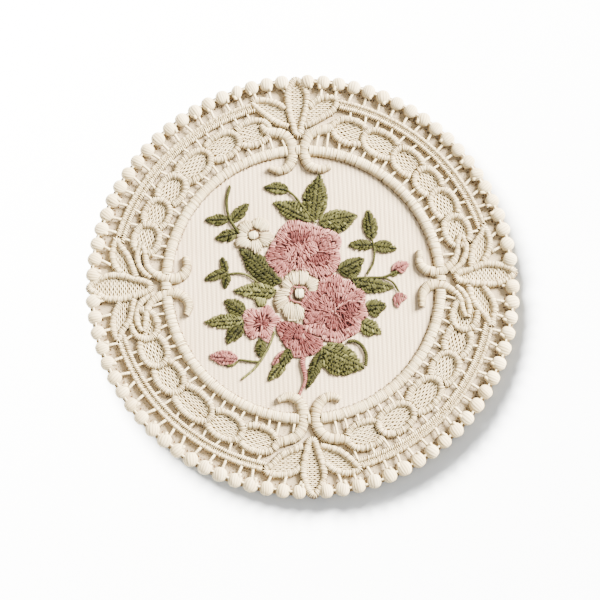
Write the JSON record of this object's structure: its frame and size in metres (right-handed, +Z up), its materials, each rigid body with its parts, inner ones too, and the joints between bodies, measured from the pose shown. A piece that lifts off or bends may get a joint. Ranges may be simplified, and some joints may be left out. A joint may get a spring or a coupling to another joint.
{
  "type": "round lace placemat",
  "caption": "Flat round cloth mat with a raised floral lace border, a beaded edge and an embroidered bouquet in the middle.",
  "frame": {"origin": "middle of the flat underside of the backing cloth", "axes": "+Z up out of the mat's face, +Y towards the palmette above the bouquet's tall leaf, +X towards the palmette on the right"},
  "size_m": [0.1997, 0.1996, 0.0052],
  "materials": {
    "backing_cloth": "fine ribbed weave, matt",
    "lace_thread": "satin-stitched cotton cord",
    "ivory_thread": "satin-stitched thread",
    "light_green_thread": "satin-stitched thread",
    "green_thread": "satin-stitched thread",
    "dark_green_thread": "satin-stitched thread",
    "light_pink_thread": "satin-stitched thread",
    "pink_thread": "satin-stitched thread",
    "deep_pink_thread": "satin-stitched thread"
  },
  "bodies": {
    "root": {"base_cloth": "backing_cloth", "lace_border": "lace_thread", "bead_edging_northeast": "lace_thread", "bead_edging_southeast": "lace_thread", "bead_edging_southwest": "lace_thread", "bead_edging_northwest": "lace_thread", "flower_ivory_middle": "ivory_thread", "flower_ivory_northwest": "ivory_thread", "rose_east_heart": "deep_pink_thread", "rose_east": "pink_thread", "rose_north": "light_pink_thread", "flower_pink_west": "light_pink_thread", "blossom_south": "deep_pink_thread", "berry_west": "light_green_thread", "leaf_north_tall": "green_thread", "leaf_north_east": "green_thread", "sprig_north": "green_thread", "leaf_north_west": "green_thread", "leaf_west_dark": "dark_green_thread", "leaf_west_light": "light_green_thread", "leaf_east_dark": "dark_green_thread", "leaf_east_long": "green_thread", "leaf_east_short": "green_thread", "leaf_southeast": "green_thread", "leaf_south_broad": "green_thread", "leaf_south_dark": "dark_green_thread", "stalk_south_pink": "pink_thread", "petal_south_strip": "light_pink_thread", "leaf_south_tip": "light_green_thread", "leaf_southwest_upper": "dark_green_thread", "leaf_southwest_middle": "light_green_thread", "leaf_southwest_lower": "dark_green_thread", "leaf_southwest_small": "dark_green_thread", "bud_southwest": "pink_thread", "tendril_southwest": "green_thread", "tendril_south": "green_thread", "sprig_northwest": "green_thread", "sprig_west": "green_thread", "sprig_east": "green_thread", "bud_east": "pink_thread", "bud_southeast": "pink_thread", "tendril_east": "green_thread"}
  },
  "joints": []
}
